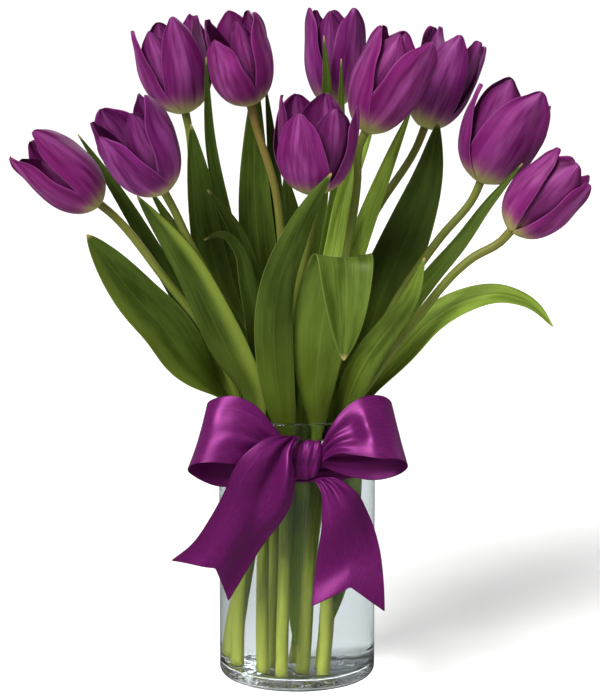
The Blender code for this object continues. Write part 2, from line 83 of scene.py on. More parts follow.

# ---- the model's own routes

# Each tulip: the foot and rim places of its stem, the stem's free points, the bloom's base, tip and
# radius, how far the bloom closes and how brown the stem's top is. A tepal is its turn from the
# front (degrees, to the viewer's right), its reach, its breadth and how far its tip leans sideways.
# Where depth is given, it sets the painted shade that darkens the inner tepals (1 keeps the full
# colour).
TULIPS = [
    dict(
        foot=(-30, -2), rim=(-34, -8), via=[(-50, -11, 215), (-84, -14, 262)],
        base=(-124, -15, 309), tip=(-172, -33, 352), radius=20, close=0.80, brown=0.3, depth=0.5,
        outer=[(-53, 1.0, 0.92, 2), (51, 1.0, 0.92, -1), (178, 0.84, 1.0, 0)],
        inner=[(2, 0.74, 0.72, 0), (118, 0.80, 0.9, 0), (-118, 0.83, 0.9, 0)]),
    dict(
        foot=(-19, -22), rim=(-24, -26), via=[(-36, -39, 227), (-67, -53, 292)],
        base=(-81, -62, 323), tip=(-109, -74, 377), radius=23.5, close=0.69, brown=0.2,
        outer=[(-42, 0.88, 0.92, -1), (68, 1.02, 0.92, -2), (-150, 0.97, 1.0, 0)],
        inner=[(22, 0.95, 0.72, 1), (130, 0.96, 0.9, 0), (-96, 0.97, 0.9, 0)]),
    dict(
        foot=(-27, 18), rim=(-24, 12), via=[(-40, 19, 220), (-55, 24, 270), (-66, 27, 320)],
        base=(-71, 28, 361), tip=(-83, 28, 420), radius=24, close=0.68, brown=0.1,
        outer=[(17, 1.06, 0.66, -1), (-70, 0.98, 0.72, 0), (140, 1.0, 1.0, 0)],
        inner=[(-26, 0.95, 0.75, -3), (80, 1.0, 0.85, 0), (200, 0.98, 0.9, 0)]),
    dict(
        foot=(-14, -3), rim=(-9, -4), via=[(-8, -6, 220), (-9, -8, 270), (-14, -10, 319)],
        base=(-29, -12, 371), tip=(-42, -21, 428), radius=20, close=0.76, brown=0.8,
        outer=[(-36, 0.82, 0.95, -2), (72, 1.0, 0.85, -2), (180, 0.98, 1.0, 0)],
        inner=[(18, 0.96, 0.6, 0), (-105, 1.0, 1.0, 3), (125, 0.97, 0.9, 0)]),
    dict(
        foot=(-8, 31), rim=(0, 28), via=[(8, 35, 215), (21, 45, 266), (26, 50, 302)],
        base=(24, 55, 362), tip=(24, 59, 426), radius=19.5, close=0.70, brown=0.2,
        outer=[(-62, 1.0, 0.75, 0), (42, 1.0, 0.9, 0), (180, 0.97, 1.0, 0)],
        inner=[(-10, 0.97, 0.75, 0), (105, 0.97, 0.9, 0), (-128, 0.97, 0.9, 0)]),
    dict(
        foot=(-9, -35), rim=(-7, -33), via=[(-8, -36, 200), (-3, -40, 240), (7, -50, 290)],
        base=(10, -58, 321), tip=(12, -62, 384), radius=25.5, close=0.66, brown=0.1,
        outer=[(-24, 0.86, 0.80, 0), (84, 0.90, 0.70, 0), (-150, 0.93, 1.0, 0)],
        inner=[(36, 0.90, 0.86, -1), (-78, 0.98, 0.75, -2), (165, 0.95, 0.9, 0)]),
    dict(
        foot=(3, -17), rim=(14, -24), via=[(21, -20, 215), (30, -14, 270), (38, -8, 322)],
        base=(43, -5, 353), tip=(69, -8, 415), radius=23, close=0.68, brown=0.1,
        outer=[(-60, 1.0, 0.72, 2), (38, 1.04, 1.0, 2), (180, 0.98, 1.0, 0)],
        inner=[(-14, 1.0, 0.85, -1), (105, 0.97, 0.9, 0), (-128, 0.97, 0.9, 0)]),
    dict(
        foot=(0, 13), rim=(16, 24), via=[(22, 27, 200), (34, 34, 245), (48, 41, 290)],
        base=(82, 48, 349), tip=(105, 54, 409), radius=21, close=0.70, brown=0.3,
        outer=[(-3, 0.99, 0.8, 0), (112, 0.98, 0.95, 0), (-118, 0.98, 0.95, 0)],
        inner=[(52, 1.0, 0.8, 0), (-58, 1.0, 0.8, 0), (178, 0.97, 0.9, 0)]),
    dict(
        foot=(12, 0), rim=(30, 8), via=[(42, 9, 200), (69, 9, 252), (91, 7, 284)],
        base=(116, 5, 320), tip=(142, 0, 383), radius=26, close=0.68, brown=0.2,
        outer=[(12, 1.05, 0.98, 5), (-78, 0.86, 0.6, -2), (138, 0.95, 1.0, 0)],
        inner=[(-28, 1.03, 0.75, 0), (70, 0.92, 0.8, 0), (200, 0.97, 0.9, 0)]),
    dict(
        foot=(15, -29), rim=(31, -13), via=[(54, -22, 208), (75, -27, 238), (110, -33, 278)],
        base=(133, -35, 295), tip=(173, -42, 340), radius=21, close=0.77, brown=0.3,
        outer=[(-58, 1.0, 0.76, 0), (58, 0.93, 0.8, 0), (180, 0.95, 1.0, 0)],
        inner=[(0, 1.02, 1.05, 0), (118, 0.95, 0.9, 0), (-120, 0.95, 0.9, 0)]),
]

# Each leaf: the tulip whose stem it clasps, the side of the stem it sits on (degrees), its full
# width, its fold, the ways its inner face turns, its tone (0 is a dark green, 1 and over a light one)
# and its midrib's points. The tone is partly the blade's own green and partly painted light and
# shade: blades are set lighter or darker for how the light falls on them. Some leaves have more: z is
# the height of the foot, spread is how fast the foot widens, low is the least half width at the foot,
# broad_tip puts the widest place nearer the tip, hinge is the line that a bent blade turns over, and
# lit is how bright the painted light on one edge's strip is.
LEAVES = {
    "leaf_far_left": dict(
        stem=1, z=150, side=200, width=34, fold=0.5, facing=[(0.3, -0.9, 0.3)], tone_and_light=0.22, lit=0.4,
        broad_tip=True,
        route=[(-42, -13, 178), (-52, -17, 189), (-68, -22, 208), (-84, -25, 232), (-100, -27, 250),
               (-119, -29, 275), (-131, -30, 292)]),
    "leaf_left_narrow": dict(
        stem=1, side=80, width=13, fold=0.4, facing=[(0.3, -0.95, 0)], tone_and_light=0.1, spread=40,
        low=14,
        route=[(-37, 1, 185), (-54, 6, 210), (-84, 10, 262), (-119, 13, 320), (-139, 16, 349)]),
    "leaf_left_folded": dict(
        stem=2, side=230, width=27, fold=0.6, spread=38, facing=[(0.2, 0.9, 0.1)], tone_and_light=0.22,
        lit=1.0,
        route=[(-29, -37, 190), (-40, -48, 215), (-51, -56, 241), (-69, -60, 278), (-98, -56, 320)]),
    "leaf_left_inner": dict(
        stem=2, z=154, side=88, width=13, fold=0.3, facing=[(0.2, -0.95, 0)], tone_and_light=0.6,
        route=[(-27, -17, 198), (-45, -20, 240), (-64, -23, 274), (-79, -25, 298), (-93, -27, 322)]),
    "leaf_left_broad": dict(
        stem=3, side=280, width=28, fold=0.35, facing=[(0.1, -1, 0)], tone_and_light=0.15,
        route=[(-35, 9, 205), (-45, 11, 240), (-53, 11, 269), (-59, 11, 301), (-64, 12, 333),
               (-67, 13, 356)]),
    "leaf_slender_left": dict(
        stem=4, side=180, width=11, fold=0.4, facing=[(0, -1, 0)], tone_and_light=0.1,
        route=[(-20, -1, 200), (-28, 0, 230), (-40, 2, 275), (-48, 3, 309), (-54, 4, 342),
               (-57, 4, 399)]),
    "leaf_behind_left": dict(
        stem=4, z=156, side=75, width=25, fold=0.3, facing=[(0, -1, 0)], tone_and_light=0.3,
        route=[(-14, 8, 205), (-19, 15, 235), (-24, 18, 270), (-27, 20, 308), (-27, 20, 350),
               (-26, 19, 386)]),
    "leaf_dark_middle": dict(
        stem=5, side=180, width=12, fold=0.4, facing=[(0, -1, 0)], tone_and_light=0.0,
        route=[(-9, 28, 210), (-11, 28, 250), (-13, 29, 300), (-16, 30, 340), (-20, 32, 378)]),
    "leaf_pointing_left": dict(
        stem=4, z=154, side=285, width=16, fold=0.35, facing=[(0.2, -1, 0)], tone_and_light=0.2,
        route=[(-13, -14, 193), (-21, -15, 228), (-29, -14, 261), (-39, -15, 293), (-56, -16, 318)]),
    "leaf_curled": dict(
        stem=2, side=342, width=14, fold=0.35, facing=[(0.2, -1, 0), (0.2, -0.9, 0.4)],
        tone_and_light=0.15,
        route=[(-20, -30, 200), (-25, -30, 230), (-31, -29, 260), (-37, -28, 283), (-47, -28, 292),
               (-58, -29, 288)]),
    "leaf_front_tall": dict(
        stem=6, side=265, width=25, fold=0.5, facing=[(-0.1, 1, 0)], tone_and_light=0.25,
        route=[(-11, -45, 189), (-14, -56, 222), (-14, -64, 245), (-11, -73, 269), (-1, -80, 298),
               (9, -84, 319), (21, -86, 338)]),
    "leaf_front_bent": dict(
        stem=7, side=265, width=38, fold=0.25, spread=50, hinge=(1, 0, 0), tone_and_light=0.6,
        broad_tip=True,
        route=[(12, -38, 190), (13, -48, 215), (16, -57, 242), (22, -67, 268), (27, -75, 283),
               (28.5, -78, 286), (29.5, -81, 284), (30, -85, 272), (30, -88, 248), (28.5, -88, 223)]),
    "leaf_middle_right": dict(
        stem=7, side=100, width=15, fold=0.4, facing=[(-0.2, -1, 0)], tone_and_light=2.0,
        route=[(15, -12, 215), (19, -2, 248), (24, 4, 275), (32, 12, 315), (45, 20, 352),
               (52, 25, 384)]),
    "leaf_bright_right": dict(
        stem=8, side=315, width=15, fold=0.4, facing=[(-0.2, -1, 0)], tone_and_light=2.0,
        route=[(21, 14, 207), (30, 14, 250), (38, 13, 276), (57, 17, 327), (73, 20, 366)]),
    "leaf_behind_middle": dict(
        stem=5, side=275, width=14, fold=0.35, facing=[(0, -1, 0)], tone_and_light=0.35,
        route=[(5, 22, 212), (9, 25, 260), (14, 28, 310), (18, 29, 350), (19, 30, 380), (17, 31, 410)]),
    "leaf_slender_middle": dict(
        stem=8, side=205, width=10, fold=0.4, facing=[(0, -1, 0)], tone_and_light=0.5,
        route=[(10, 18, 212), (18, 18, 268), (26, 20, 320), (28, 23, 360), (28, 25, 396)]),
    "leaf_right_broad": dict(
        stem=9, side=100, width=36, fold=0.35, facing=[(-0.2, -1, 0)], tone_and_light=0.15,
        route=[(41, 19, 205), (53, 23, 240), (64, 24, 266), (72, 25, 286), (85, 27, 325),
               (90, 28, 356)]),
    "leaf_right_long": dict(
        stem=9, z=154, side=300, width=13, fold=0.4, facing=[(-0.3, -0.9, 0.3)], tone_and_light=0.35,
        route=[(45, 1, 202), (65, -2, 232), (87, -10, 264), (103, -13, 284), (118, -15, 306),
               (141, -18, 335)]),
    "leaf_right_front": dict(
        stem=10, side=260, width=19, fold=0.45, facing=[(0.2, 0.9, 0.2)], tone_and_light=1.1,
        route=[(35, -31, 195), (45, -40, 217), (58, -44, 236), (70, -46, 254), (79, -47, 280)]),
    "leaf_far_right": dict(
        stem=10, side=40, width=22, fold=0.4, facing=[(-0.2, -0.8, 0.6), (0, -0.7, 0.7)],
        tone_and_light=1.7,
        route=[(45, -9, 191), (66, -13, 214), (85, -14, 234), (104, -17, 246), (128, -20, 252),
               (149, -22, 245), (161, -24, 232)]),
    "leaf_back_middle": dict(
        stem=5, side=85, width=24, fold=0.35, facing=[(0, -1, 0.2)], tone_and_light=0.3,
        route=[(0, 42, 200), (0, 54, 240), (-3, 63, 280), (-8, 68, 318)]),
    "leaf_back_left": dict(
        stem=3, side=100, width=24, fold=0.35, facing=[(0.3, -0.9, 0.2)], tone_and_light=0.4,
        route=[(-30, 28, 200), (-38, 41, 235), (-46, 51, 270), (-54, 57, 308)]),
}

# Loose blades among the stems, partly under water: the first points up, the second down.
LOW_LEAVES = {
    "leaf_low_middle": dict(
        width=15, fold=0.3, facing=[(0, -1, 0)], tone_and_light=1.7,
        route=[(0, 3, 22), (2, 1, 80), (4, -2, 140), (5, -4, 180), (5, -8, 222)]),
    "leaf_low_right": dict(
        width=15, fold=0.35, facing=[(0.2, -1, 0)], tone_and_light=1.0,
        route=[(24, -1, 222), (26, -3, 178), (27, -7, 132), (26, -9, 95), (22, -10, 60), (16, -11, 34)]),
}

# The bow's two ribbon edges, from the knot outwards.
LOOP_LEFT = [((-3.5, -58.5, 162.5), (-3.5, -58.5, 151)), ((-15, -60, 177), (-20, -64, 154)),
             ((-25, -60, 189), (-35, -72, 154)), ((-39, -58, 195), (-51, -78, 157)),
             ((-50, -54, 193), (-62, -76, 156)), ((-56, -48, 188), (-68, -68, 150)),
             ((-53, -43, 182), (-62, -61, 143)), ((-41, -44, 178), (-50, -57, 137)),
             ((-26, -49, 172), (-34, -57, 137)), ((-3.5, -55.6, 161), (-3.5, -55.6, 150))]
LOOP_RIGHT = [((14.5, -58.5, 162.5), (14.5, -58.5, 152)), ((22, -61, 178), (24, -67, 160)),
              ((30, -60, 188), (37, -75, 161)), ((43, -58, 195), (52, -80, 160)),
              ((54, -54, 194), (64, -75, 158)), ((59, -49, 189), (69, -67, 152)),
              ((57, -44, 183), (65, -60, 146)), ((43, -46, 178), (51, -57, 141)),
              ((28, -50, 171), (33, -56, 143)), ((14.5, -55.6, 161), (14.5, -55.6, 150))]
TAIL_LEFT = [((-2, -57, 167.3), (4, -57, 167.3)), ((-7, -64, 170.5), (0.5, -65.5, 168.5)),
             ((-17, -71, 172), (-3.2, -68.5, 158)),
             ((-28, -75, 166), (-2, -70, 151)), ((-38, -77, 155), (-1.5, -70, 141)),
             ((-45, -74, 138), (-3, -66, 129)), ((-54, -69, 120), (-12, -61, 111)),
             ((-66, -66, 102), (-26, -59, 88)), ((-79, -64, 91), (-43, -60, 61))]
TAIL_RIGHT = [((7.5, -57.5, 140.6), (12.5, -57.5, 140.8)), ((11.5, -62, 141), (23, -62, 144)),
              ((14.5, -65.5, 136), (35, -64, 137)), ((15, -66, 118), (46, -61, 118)),
              ((13, -64, 99), (52, -59, 98)), ((11, -64, 80), (54, -59, 79)),
              ((9, -66, 62), (55, -60, 57))]
TAIL_NOTCH = 15.0


# ---- curves

def through(points, per_span):
    """Points along a smooth curve that passes through all the given points."""
    spans = [(b - a).length for a, b in zip(points, points[1:])]
    slopes = [(b - a) / d for a, b, d in zip(points, points[1:], spans)]
    tangents = [slopes[0]]
    for k in range(1, len(points) - 1):
        before, after = spans[k - 1], spans[k]
        tangents.append((slopes[k] * before + slopes[k - 1] * after) / (before + after))
    tangents.append(slopes[-1])
    result = []
    for k, span in enumerate(spans):
        for step in range(per_span):
            t = step / per_span
            a, b = points[k], points[k + 1]
            lift = tangents[k] * span * (t - 2 * t * t + t ** 3)
            land = tangents[k + 1] * span * (t ** 3 - t * t)
            blend = 3 * t * t - 2 * t ** 3
            result.append(a.lerp(b, blend) + lift + land)
    result.append(points[-1].copy())
    return result


def spaced(points, count):
    """The given number of points, equally far apart along a polyline."""
    lengths = [0.0]
    for a, b in zip(points, points[1:]):
        lengths.append(lengths[-1] + (b - a).length)
    result = []
    k = 0
    for i in range(count):
        target = lengths[-1] * i / (count - 1)
        while k < len(points) - 2 and lengths[k + 1] < target:
            k += 1
        part = (target - lengths[k]) / (lengths[k + 1] - lengths[k])
        result.append(points[k].lerp(points[k + 1], min(part, 1.0)))
    return result


def length_of(points):
    return sum((b - a).length for a, b in zip(points, points[1:]))


def smoothstep(x, low=0.0, high=1.0):
    x = min(max((x - low) / (high - low), 0.0), 1.0)
    return x * x * (3 - 2 * x)


def bump_at(x, centre, spread):
    """A smooth bump of height 1 round a place."""
    return exp(-((x - centre) / spread) ** 2)


def tangent_at(points, i):
    return (points[min(i + 1, len(points) - 1)] - points[max(i - 1, 0)]).normalized()


def square_to(along, way):
    """The part of a way that is at right angles to a direction."""
    return (way - along * way.dot(along)).normalized()


# ---- meshes

def add_grid(mesh, rows, closed=False):
    """Adds a grid of quads with a UV map: u across each row, v along the rows."""
    layer = mesh.loops.layers.uv.verify()
    across = len(rows[0])
    verts = [[mesh.verts.new(p * MM) for p in row] for row in rows]
    steps = across if closed else across - 1
    for j in range(len(rows) - 1):
        for k in range(steps):
            n = (k + 1) % across
            face = mesh.faces.new((verts[j][k], verts[j][n], verts[j + 1][n], verts[j + 1][k]))
            face.smooth = True
            corners = ((k, j), (k + 1, j), (k + 1, j + 1), (k, j + 1))
            for loop, (a, b) in zip(face.loops, corners):
                loop[layer].uv = (a / steps, b / (len(rows) - 1))
    return verts


def object_of(name, mesh, mat):
    data = bpy.data.meshes.new(name)
    mesh.to_mesh(data)
    mesh.free()
    data.materials.append(mat)
    obj = bpy.data.objects.new(name, data)
    bpy.context.scene.collection.objects.link(obj)
    return obj


def smoothed(obj):
    smooth = obj.modifiers.new("Smooth", "SUBSURF")
    smooth.levels = 1
    smooth.render_levels = 1


def thicken(obj, thickness):
    solid = obj.modifiers.new("Thickness", "SOLIDIFY")
    solid.thickness = thickness * MM
    solid.offset = 0.0


def thin_piece(name, grids, mat, thickness):
    mesh = bmesh.new()
    for rows in grids:
        add_grid(mesh, rows)
    obj = object_of(name, mesh, mat)
    thicken(obj, thickness)
    smoothed(obj)
    return obj


def add_tube(mesh, points, radii, sides):
    """A tube of rings round a line, with rounded ends."""
    rows = []
    lead = Vector((1.0, 0.0, 0.0))
    for i, centre in enumerate(points):
        along = tangent_at(points, i)
        lead = square_to(along, lead)
        other = along.cross(lead)
        ring = []
        for k in range(sides):
            angle = tau * k / sides
            ring.append(centre + (lead * cos(angle) + other * sin(angle)) * radii[i])
        rows.append(ring)
    verts = add_grid(mesh, rows, closed=True)
    for ring, flip in ((verts[0], True), (verts[-1], False)):
        face = mesh.faces.new(list(reversed(ring)) if flip else ring)
        face.smooth = False


def add_lathe(mesh, profile, steps):
    """A surface turned round Z from (radius, height) points, listed with its outside on the right."""
    rings = []
    for r, z in profile:
        if r == 0.0:
            rings.append([mesh.verts.new((0.0, 0.0, z * MM))])
            continue
        ring = []
        for k in range(steps):
            angle = tau * k / steps
            ring.append(mesh.verts.new((r * cos(angle) * MM, r * sin(angle) * MM, z * MM)))
        rings.append(ring)
    for lower, upper in zip(rings, rings[1:]):
        for k in range(steps):
            n = (k + 1) % steps
            corners = [lower[k % len(lower)], lower[n % len(lower)],
                       upper[n % len(upper)], upper[k % len(upper)]]
            face = mesh.faces.new(list(dict.fromkeys(corners)))
            face.smooth = True


def corner(centre_r, centre_z, radius, start_deg, end_deg, steps):
    """Points of an arc in a lathe's profile."""
    result = []
    for k in range(steps + 1):
        angle = radians(start_deg + (end_deg - start_deg) * k / steps)
        result.append((centre_r + radius * cos(angle), centre_z + radius * sin(angle)))
    return result


def carried(obj, slot, *nodes):
    """Every piece rides on the one body and stands for its nodes, which it hides; its slot is not used.
    """
    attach(obj, "root")
    if nodes:
        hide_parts(*nodes)
    return obj


# ---- materials

def node(tree, kind, inputs=None, **settings):
    """A shader node; each input is a socket to link or a value to set."""
    made = tree.nodes.new(kind)
    for key, value in settings.items():
        setattr(made, key, value)
    for key, value in (inputs or {}).items():
        if isinstance(value, bpy.types.NodeSocket):
            tree.links.new(value, made.inputs[key])
        else:
            made.inputs[key].default_value = value
    return made


def principled(name, **values):
    mat = bpy.data.materials.new(name)
    mat.use_nodes = True
    shader = mat.node_tree.nodes["Principled BSDF"]
    for key, value in values.items():
        shader.inputs[key.replace("_", " ")].default_value = value
    return mat, shader


def feed(shader, **sockets):
    """Links a socket to each named input of the shader."""
    for key, socket in sockets.items():
        shader.id_data.links.new(socket, shader.inputs[key.replace("_", " ")])


def math_node(operation, a, b=0.0):
    return node(a.id_data, "ShaderNodeMath", {0: a, 1: b}, operation=operation).outputs[0]


def ramp(value, low, high, to_low=0.0, to_high=1.0):
    """A smooth step from one value to another."""
    limits = {"Value": value, "From Min": low, "From Max": high, "To Min": to_low, "To Max": to_high}
    made = node(value.id_data, "ShaderNodeMapRange", limits, interpolation_type="SMOOTHSTEP")
    return made.outputs["Result"]


def mix(factor, a, b):
    """A blend of two colours, each given as a socket or as three numbers."""
    colours = [c if isinstance(c, bpy.types.NodeSocket) else (*c, 1.0) for c in (a, b)]
    inputs = {0: factor, 6: colours[0], 7: colours[1]}
    return node(factor.id_data, "ShaderNodeMix", inputs, data_type="RGBA").outputs[2]


def uv_parts(shader):
    """Places across and along a piece, and how near its edge a place is (0 middle, 1 edge)."""
    uv = node(shader.id_data, "ShaderNodeUVMap").outputs["UV"]
    parts = node(uv.id_data, "ShaderNodeSeparateXYZ", {0: uv})
    off = math_node("ABSOLUTE", math_node("SUBTRACT", parts.outputs[0], 0.5))
    return uv, parts.outputs[0], parts.outputs[1], math_node("MULTIPLY", off, 2.0)


def streaks(uv, across, along, detail=3.0, seed=0.0):
    """Noise stretched along a piece."""
    placed = {"Vector": uv, "Location": (seed, seed * 0.7, 0.0), "Scale": (across, along, 1.0)}
    scaled = node(uv.id_data, "ShaderNodeMapping", placed).outputs[0]
    settings = {"Vector": scaled, "Scale": 1.0, "Detail": detail, "Roughness": 0.6}
    return node(uv.id_data, "ShaderNodeTexNoise", settings).outputs["Fac"]


def grain_of(place, scale, detail):
    """Even noise, fixed to places on the piece."""
    settings = {"Vector": place, "Scale": scale, "Detail": detail}
    return node(place.id_data, "ShaderNodeTexNoise", settings).outputs["Fac"]


def place_of(shader):
    return node(shader.id_data, "ShaderNodeTexCoord").outputs["Object"]


def height_of(place):
    return node(place.id_data, "ShaderNodeSeparateXYZ", {0: place}).outputs[2]


def bumped(shader, height, strength, distance):
    inputs = {"Height": height, "Strength": strength, "Distance": distance}
    feed(shader, Normal=node(shader.id_data, "ShaderNodeBump", inputs).outputs["Normal"])


def petal_material(number, inner, inner_painted_shade):
    """Purple tepal: faint lengthwise veins, a painted sheen along the midrib and a greenish foot.

    Inner tepals get painted shade: darker towards their feet and edges, where the outer ones shade them.
    """
    warm = 0.5 + 0.5 * sin(number * 2.1)
    # painted shade: the inner whorl's colours are dimmed as if shaded by the outer tepals
    depth = inner_painted_shade if inner else 1.0
    mat, shader = principled(
        f"petal_{number:02d}_{'inner' if inner else 'outer'}", Roughness=0.45,
        Subsurface_Weight=0.08, Subsurface_Scale=0.0012, Subsurface_Radius=(1.0, 0.3, 0.8),
        Sheen_Weight=0.06, Sheen_Roughness=0.4, Sheen_Tint=(0.8, 0.35, 0.75, 1.0),
        Specular_IOR_Level=0.3, Specular_Tint=(1.0, 0.5, 0.95, 1.0))
    uv, _, along, edge = uv_parts(shader)
    fine = streaks(uv, 46.0, 2.2, 4.0, number)
    broad = streaks(uv, 7.0, 1.6, 2.0, number + 5.0)
    dark = [c * depth for c in (0.078 + 0.02 * warm, 0.0038, 0.060)]
    mid = [c * depth for c in (0.160 + 0.03 * warm, 0.011, 0.136)]
    pale = [c * depth for c in (0.36, 0.105, 0.32)]
    colour = mix(ramp(broad, 0.25, 0.75), dark, mid)
    colour = mix(ramp(fine, 0.45, 0.75, 0.0, 0.45), colour, mid)
    colour = mix(ramp(fine, 0.45, 0.20, 0.0, 0.45), colour, dark)
    # painted highlight: a pale sheen along each tepal's midrib, where light catches it
    painted_sheen = math_node("MULTIPLY", ramp(edge, 0.1, 0.8, 1.0, 0.0), ramp(broad, 0.3, 0.75))
    colour = mix(math_node("MULTIPLY", painted_sheen, 0.42), colour, pale)
    colour = mix(ramp(edge, 0.92, 1.0, 0.0, 0.30), colour, pale)
    if inner:
        # painted shade: darker towards the foot and under the edges of the outer tepals
        colour = mix(ramp(along, 0.20, 0.70, 0.6, 0.0), colour, (0.040, 0.002, 0.026))
        colour = mix(ramp(edge, 0.35, 0.95, 0.0, 0.75), colour, (0.040, 0.002, 0.028))
    foot = math_node("ADD", along, math_node("MULTIPLY", broad, -0.10))
    colour = mix(ramp(foot, 0.03, 0.15, 0.5, 0.0), colour, (0.27, 0.11, 0.13))
    colour = mix(ramp(foot, -0.04, 0.085, 1.0, 0.0), colour, (0.31, 0.32, 0.08))
    colour = mix(ramp(along, 0.95, 1.0, 0.0, 0.5), colour, (0.05, 0.012, 0.022))
    feed(shader, Base_Color=colour, Roughness=ramp(fine, 0.2, 0.8, 0.38, 0.52))
    bumped(shader, math_node("ADD", fine, math_node("MULTIPLY", broad, 0.6)), 0.25, 0.0004)
    return mat


def leaf_material(name, tone_and_light, seed, lit=0.0):
    """Green blade: parallel veins, a pale midrib and margin, lighter at its foot, dry at its tip."""
    mat, shader = principled(
        name, Roughness=0.45, Subsurface_Weight=0.05, Subsurface_Scale=0.001,
        Subsurface_Radius=(0.6, 1.0, 0.2), Specular_IOR_Level=0.2,
        Specular_Tint=(0.85, 1.0, 0.5, 1.0))
    uv, across, along, edge = uv_parts(shader)
    veins = streaks(uv, 42.0, 1.2, 2.0, seed)
    patches = streaks(uv, 3.0, 3.5, 3.0, seed + 3.0)
    # the tone sets the blade's own green and also paints in light and shade, lighter or darker for how
    # light falls on it
    dark = (0.009 + 0.034 * tone_and_light, 0.018 + 0.054 * tone_and_light, 0.001 + 0.003 * tone_and_light)
    mid = (0.025 + 0.112 * tone_and_light, 0.046 + 0.162 * tone_and_light, 0.005 + 0.022 * tone_and_light)
    light = (0.055 + 0.18 * tone_and_light, 0.087 + 0.22 * tone_and_light, 0.012 + 0.045 * tone_and_light)
    colour = mix(ramp(patches, 0.25, 0.75), dark, mid)
    colour = mix(ramp(veins, 0.50, 0.80, 0.0, 0.38), colour, light)
    colour = mix(ramp(veins, 0.20, 0.40, 0.35, 0.0), colour, dark)
    colour = mix(ramp(edge, 0.0, 0.06, 0.28, 0.0), colour, light)
    colour = mix(ramp(edge, 0.94, 1.0, 0.0, 0.5), colour, (0.17, 0.22, 0.045))
    colour = mix(ramp(along, 0.10, 0.62, 0.45, 0.0), colour, (0.110, 0.160, 0.012))
    # painted light: one edge's strip is brighter, as if lit from that side
    if lit:
        colour = mix(ramp(across, 0.40, 0.12, 0.0, 0.7 * lit), colour, (0.19, 0.25, 0.035))
    colour = mix(ramp(along, 0.975, 1.0, 0.0, 0.8), colour, (0.42, 0.34, 0.14))
    feed(shader, Base_Color=colour, Roughness=ramp(patches, 0.2, 0.8, 0.36, 0.50))
    bumped(shader, veins, 0.45, 0.0004)
    return mat


def stem_material(number, brown):
    """Green stem, yellower at its cut foot, with a brown flush under the bloom."""
    mat, shader = principled(
        f"stem_{number:02d}", Roughness=0.45, Subsurface_Weight=0.08, Subsurface_Scale=0.001,
        Subsurface_Radius=(0.7, 1.0, 0.2), Specular_IOR_Level=0.2)
    uv, _, along, _ = uv_parts(shader)
    lines = streaks(uv, 14.0, 7.0, 3.0, number * 1.7)
    blots = streaks(uv, 2.0, 9.0, 2.0, number * 2.9)
    colour = mix(ramp(lines, 0.3, 0.7), (0.075, 0.115, 0.010), (0.165, 0.215, 0.028))
    colour = mix(ramp(along, 0.0, 0.40, 0.75, 0.0), colour, (0.285, 0.312, 0.045))
    top = Vector((0.125, 0.155, 0.024)).lerp(Vector((0.190, 0.080, 0.030)), brown)
    colour = mix(ramp(along, 0.62, 0.99, 0.0, 0.75), colour, top)
    colour = mix(ramp(blots, 0.55, 0.80, 0.0, 0.30), colour, (0.24, 0.20, 0.06))
    feed(shader, Base_Color=colour)
    bumped(shader, lines, 0.25, 0.0004)
    return mat


def satin_material(name, repeats):
    """Satin: lengthwise thread floats, repeated along the piece, a selvage and long highlights."""
    mat, shader = principled(
        name, Roughness=0.36, Metallic=0.35, Sheen_Weight=0.03, Sheen_Roughness=0.35,
        Sheen_Tint=(0.8, 0.35, 0.75, 1.0), Specular_IOR_Level=0.4,
        Specular_Tint=(1.0, 0.5, 0.92, 1.0), Anisotropic=0.5)
    uv, _, _, edge = uv_parts(shader)
    floats = streaks(uv, 230.0, repeats, 2.0, 1.0)
    slubs = streaks(uv, 26.0, 1.5, 2.0, 4.0)
    bands = {"Vector": uv, "Scale": repeats * 2.2, "Distortion": 0.6}
    weave = node(uv.id_data, "ShaderNodeTexWave", bands, wave_type="BANDS", bands_direction="Y")
    colour = mix(ramp(floats, 0.3, 0.7), (0.084, 0.004, 0.066), (0.152, 0.010, 0.124))
    colour = mix(ramp(slubs, 0.55, 0.8, 0.0, 0.25), colour, (0.22, 0.03, 0.185))
    colour = mix(ramp(edge, 0.955, 0.975, 0.0, 0.55), colour, (0.060, 0.005, 0.046))
    feed(shader, Base_Color=colour, Roughness=ramp(floats, 0.2, 0.8, 0.32, 0.46))
    height = math_node("ADD", floats, math_node("MULTIPLY", weave.outputs["Fac"], 0.35))
    height = math_node("ADD", height, ramp(edge, 0.95, 0.98, 0.0, 1.2))
    bumped(shader, height, 0.22, 0.00012)
    tangent = node(shader.id_data, "ShaderNodeTangent", direction_type="UV_MAP")
    feed(shader, Tangent=tangent.outputs[0])
    return mat


def glass_material():
    """Clear glass with the faint waves of a pressed base."""
    mat, shader = principled(
        "vase_glass", Base_Color=(0.755, 0.785, 0.79, 1.0), Roughness=0.0, IOR=1.50,
        Transmission_Weight=1.0, Specular_Tint=(0.35, 0.35, 0.35, 1.0))
    place = place_of(shader)
    near_base = ramp(height_of(place), 0.006, 0.022, 1.0, 0.04)
    waves = math_node("MULTIPLY", grain_of(place, 32.0, 1.0), near_base)
    bumped(shader, waves, 0.5, 0.004)
    return mat


def water_material():
    """Clear water with a faint stir in its top."""
    mat, shader = principled(
        "water", Base_Color=(0.94, 0.96, 0.975, 1.0), Roughness=0.0, IOR=1.333,
        Transmission_Weight=1.0, Specular_Tint=(0.12, 0.12, 0.12, 1.0))
    place = place_of(shader)
    near_top = ramp(height_of(place), (WATER_LEVEL - 3.0) * MM, WATER_LEVEL * MM)
    stir = math_node("MULTIPLY", grain_of(place, 60.0, 1.0), near_top)
    bumped(shader, stir, 0.15, 0.001)
    return mat


